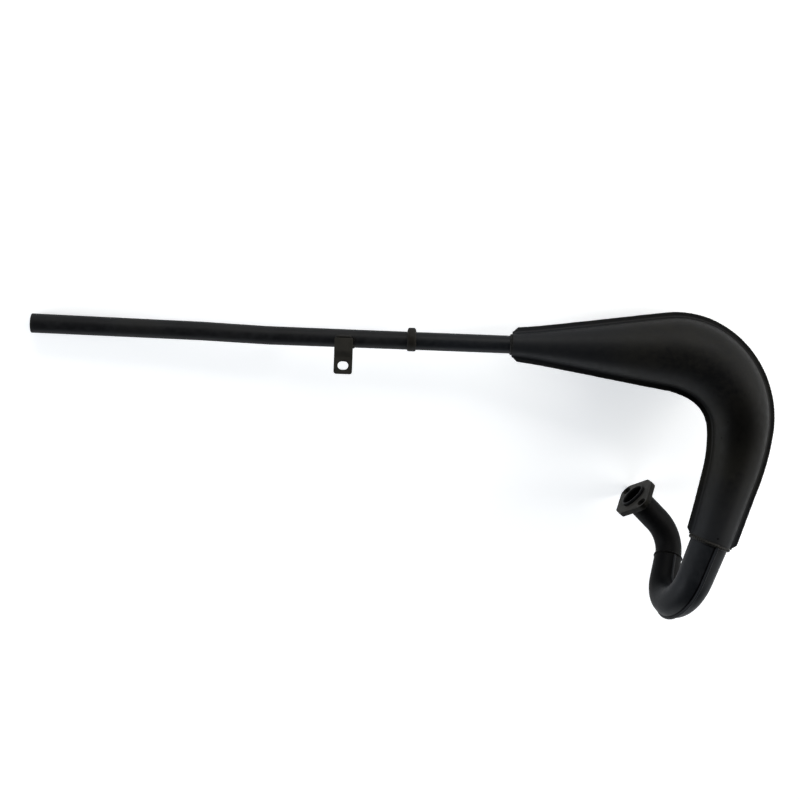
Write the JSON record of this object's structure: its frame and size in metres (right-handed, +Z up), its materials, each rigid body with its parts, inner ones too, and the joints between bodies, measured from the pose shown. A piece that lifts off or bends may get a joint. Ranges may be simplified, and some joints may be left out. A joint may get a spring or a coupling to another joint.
{
  "type": "racing exhaust system",
  "caption": "Two-stroke expansion-chamber exhaust: bolted port flange, pressed elbow, swelling seamed chamber, thin tail tube with a mounting strip.",
  "frame": {"origin": "centre of the footprint on the floor that the exhaust rests on, on its tail tip, its chamber and one lobe of its flange", "axes": "+X from the tail tip towards the chamber, +Z up, +Y to the side that the bracket and chamber lie on"},
  "size_m": [0.8242, 0.3272, 0.1743],
  "materials": {
    "chamber_paint": "satin black paint over pressed sheet steel",
    "elbow_paint": "satin black paint, slightly blue",
    "tube_paint": "satin black paint over drawn tube",
    "stinger_paint": "satin black paint, slightly blue",
    "flange_paint": "matte black paint over cut plate",
    "bracket_paint": "matte black paint over folded strip",
    "weld_bead": "matte black paint over rippled weld",
    "elbow_weld": "satin black paint over dressed weld"
  },
  "bodies": {
    "root": {"bracket_back_weld": "weld_bead", "bracket_corner_weld": "weld_bead", "bracket_top_weld": "weld_bead", "chamber_inner_seam_weld": "weld_bead", "chamber_outer_seam_weld": "weld_bead", "chamber_shell_back": "chamber_paint", "chamber_shell_front": "chamber_paint", "chamber_stinger_weld": "weld_bead", "elbow_chamber_weld": "weld_bead", "elbow_inner_seam_weld": "elbow_weld", "elbow_outer_seam_weld": "elbow_weld", "elbow_shell_left": "elbow_paint", "elbow_shell_right": "elbow_paint", "flange_weld": "weld_bead", "header_elbow_weld": "weld_bead", "header_flange": "flange_paint", "header_tube": "tube_paint", "joint_collar": "flange_paint", "mounting_bracket": "bracket_paint", "stinger_tube": "stinger_paint", "tail_tube": "tube_paint"}
  },
  "joints": []
}
